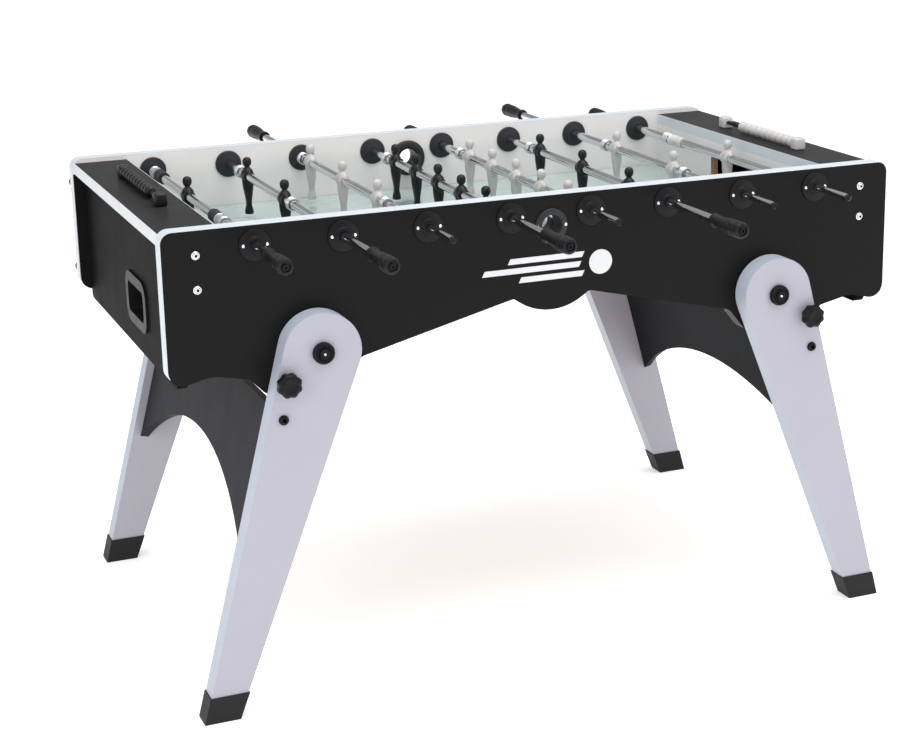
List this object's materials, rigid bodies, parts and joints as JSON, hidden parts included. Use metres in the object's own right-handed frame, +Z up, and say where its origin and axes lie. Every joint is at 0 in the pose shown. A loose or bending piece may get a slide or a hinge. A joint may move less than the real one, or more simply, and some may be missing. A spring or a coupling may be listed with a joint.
{
  "type": "foosball table",
  "caption": "Table football table with a laminated cabinet, sliding and turning telescopic rods with men, and two folding splayed leg frames with arch panels.",
  "frame": {"origin": "on the floor under the middle of the cabinet, halfway between the four feet", "axes": "+X along the table, +Y across it towards the back, +Z up"},
  "size_m": [1.36, 1.355, 0.855],
  "materials": {
    "black_laminate": "semi-gloss black laminate on board",
    "white_band": "satin white edge band",
    "cream_laminate": "satin cream laminate",
    "field_board": "raw board",
    "field_glass": "smooth glass, pale green from behind",
    "moulded_black": "moulded, fine grain",
    "chrome": "bright chrome plate",
    "screws": "bright zinc screws, black caps on the pivot bolts",
    "black_men": "glossy moulded plastic",
    "frosted_men": "frosted translucent plastic",
    "leg_paint": "satin silver-lilac foil",
    "arch_laminate": "satin anthracite laminate",
    "foot_rubber": "matte rubber",
    "black_bolts": "black lacquer",
    "knob_plastic": "moulded, fine grain",
    "handle_plastic": "moulded, fine grain",
    "spring_steel": "bright spring steel and rubber rings"
  },
  "bodies": {
    "cabinet": {"side_panel_front": "black_laminate", "side_panel_back": "black_laminate", "edge_bands": "white_band", "end_panels": "black_laminate", "top_boards": "black_laminate", "goal_walls": "cream_laminate", "playfield_board": "field_board", "playfield_glass": "field_glass", "ball_trays": "moulded_black", "ball_entries": "moulded_black", "rod_bearings": "moulded_black", "inner_rods": "chrome", "cabinet_bolts": "screws", "score_rails": "moulded_black"},
    "leg_frame_left": {"legs_left": "leg_paint", "arch_panel_left": "arch_laminate", "feet_left": "foot_rubber", "leg_bolts_left": "black_bolts"},
    "leg_frame_right": {"legs_right": "leg_paint", "arch_panel_right": "arch_laminate", "feet_right": "foot_rubber", "leg_bolts_right": "black_bolts"},
    "lock_knob_front_left": {"lock_knob_front_left": "knob_plastic"},
    "lock_knob_front_right": {"lock_knob_front_right": "knob_plastic"},
    "lock_knob_back_left": {"lock_knob_back_left": "knob_plastic"},
    "lock_knob_back_right": {"lock_knob_back_right": "knob_plastic"},
    "score_left": {"score_beads_left": "black_men"},
    "score_right": {"score_beads_right": "frosted_men"},
    "slider_1": {"buffers_1": "spring_steel"},
    "rod_1": {"rod_1": "chrome", "men_1": "black_men", "handle_1": "handle_plastic"},
    "slider_2": {"buffers_2": "spring_steel"},
    "rod_2": {"rod_2": "chrome", "men_2": "black_men", "handle_2": "handle_plastic"},
    "slider_3": {"buffers_3": "spring_steel"},
    "rod_3": {"rod_3": "chrome", "men_3": "frosted_men", "handle_3": "handle_plastic"},
    "slider_4": {"buffers_4": "spring_steel"},
    "rod_4": {"rod_4": "chrome", "men_4": "black_men", "handle_4": "handle_plastic"},
    "slider_5": {"buffers_5": "spring_steel"},
    "rod_5": {"rod_5": "chrome", "men_5": "frosted_men", "handle_5": "handle_plastic"},
    "slider_6": {"buffers_6": "spring_steel"},
    "rod_6": {"rod_6": "chrome", "men_6": "black_men", "handle_6": "handle_plastic"},
    "slider_7": {"buffers_7": "spring_steel"},
    "rod_7": {"rod_7": "chrome", "men_7": "frosted_men", "handle_7": "handle_plastic"},
    "slider_8": {"buffers_8": "spring_steel"},
    "rod_8": {"rod_8": "chrome", "men_8": "frosted_men", "handle_8": "handle_plastic"}
  },
  "joints": [
    {"name": "leg_fold_left", "type": "hinge", "parent": "cabinet", "child": "leg_frame_left", "pos_m": [-0.43, 0, 0.623], "axis": [0, -1, 0], "range_deg": [0, 112.5]},
    {"name": "leg_fold_right", "type": "hinge", "parent": "cabinet", "child": "leg_frame_right", "pos_m": [0.43, 0, 0.623], "axis": [0, 1, 0], "range_deg": [0, 96]},
    {"name": "lock_turn_front_left", "type": "hinge", "parent": "leg_frame_left", "child": "lock_knob_front_left", "pos_m": [-0.49413, -0.43, 0.57929], "axis": [0, -1, 0], "range_deg": [0, 720]},
    {"name": "lock_turn_front_right", "type": "hinge", "parent": "leg_frame_right", "child": "lock_knob_front_right", "pos_m": [0.49413, -0.43, 0.57929], "axis": [0, -1, 0], "range_deg": [0, 720]},
    {"name": "lock_turn_back_left", "type": "hinge", "parent": "leg_frame_left", "child": "lock_knob_back_left", "pos_m": [-0.49413, 0.43, 0.57929], "axis": [0, 1, 0], "range_deg": [0, 720]},
    {"name": "lock_turn_back_right", "type": "hinge", "parent": "leg_frame_right", "child": "lock_knob_back_right", "pos_m": [0.49413, 0.43, 0.57929], "axis": [0, 1, 0], "range_deg": [0, 720]},
    {"name": "score_slide_left", "type": "slide", "parent": "cabinet", "child": "score_left", "axis": [0, 1, 0], "range_m": [-0.0522, 0]},
    {"name": "score_slide_right", "type": "slide", "parent": "cabinet", "child": "score_right", "axis": [0, 1, 0], "range_m": [0, 0.0522]},
    {"name": "rod_slide_1", "type": "slide", "parent": "cabinet", "child": "slider_1", "axis": [0, 1, 0], "range_m": [-0.1428, 0.0108]},
    {"name": "rod_spin_1", "type": "hinge", "parent": "slider_1", "child": "rod_1", "pos_m": [-0.525, 0, 0.806], "axis": [0, 1, 0], "range_deg": [-220, 54]},
    {"name": "rod_slide_2", "type": "slide", "parent": "cabinet", "child": "slider_2", "axis": [0, 1, 0], "range_m": [-0.2388, 0.0788]},
    {"name": "rod_spin_2", "type": "hinge", "parent": "slider_2", "child": "rod_2", "pos_m": [-0.375, 0, 0.806], "axis": [0, 1, 0], "continuous": true},
    {"name": "rod_slide_3", "type": "slide", "parent": "cabinet", "child": "slider_3", "axis": [0, 1, 0], "range_m": [-0.1628, 0.0008]},
    {"name": "rod_spin_3", "type": "hinge", "parent": "slider_3", "child": "rod_3", "pos_m": [-0.225, 0, 0.806], "axis": [0, 1, 0], "continuous": true},
    {"name": "rod_slide_4", "type": "slide", "parent": "cabinet", "child": "slider_4", "axis": [0, 1, 0], "range_m": [-0.0188, 0.0788]},
    {"name": "rod_spin_4", "type": "hinge", "parent": "slider_4", "child": "rod_4", "pos_m": [-0.075, 0, 0.806], "axis": [0, 1, 0], "continuous": true},
    {"name": "rod_slide_5", "type": "slide", "parent": "cabinet", "child": "slider_5", "axis": [0, 1, 0], "range_m": [-0.0008, 0.0968]},
    {"name": "rod_spin_5", "type": "hinge", "parent": "slider_5", "child": "rod_5", "pos_m": [0.075, 0, 0.806], "axis": [0, 1, 0], "continuous": true},
    {"name": "rod_slide_6", "type": "slide", "parent": "cabinet", "child": "slider_6", "axis": [0, 1, 0], "range_m": [-0.0608, 0.1028]},
    {"name": "rod_spin_6", "type": "hinge", "parent": "slider_6", "child": "rod_6", "pos_m": [0.225, 0, 0.806], "axis": [0, 1, 0], "continuous": true},
    {"name": "rod_slide_7", "type": "slide", "parent": "cabinet", "child": "slider_7", "axis": [0, 1, 0], "range_m": [-0.1718, 0.1458]},
    {"name": "rod_spin_7", "type": "hinge", "parent": "slider_7", "child": "rod_7", "pos_m": [0.375, 0, 0.806], "axis": [0, 1, 0], "continuous": true},
    {"name": "rod_slide_8", "type": "slide", "parent": "cabinet", "child": "slider_8", "axis": [0, 1, 0], "range_m": [-0.0248, 0.1288]},
    {"name": "rod_spin_8", "type": "hinge", "parent": "slider_8", "child": "rod_8", "pos_m": [0.525, 0, 0.806], "axis": [0, 1, 0], "range_deg": [-54, 220]}
  ]
}
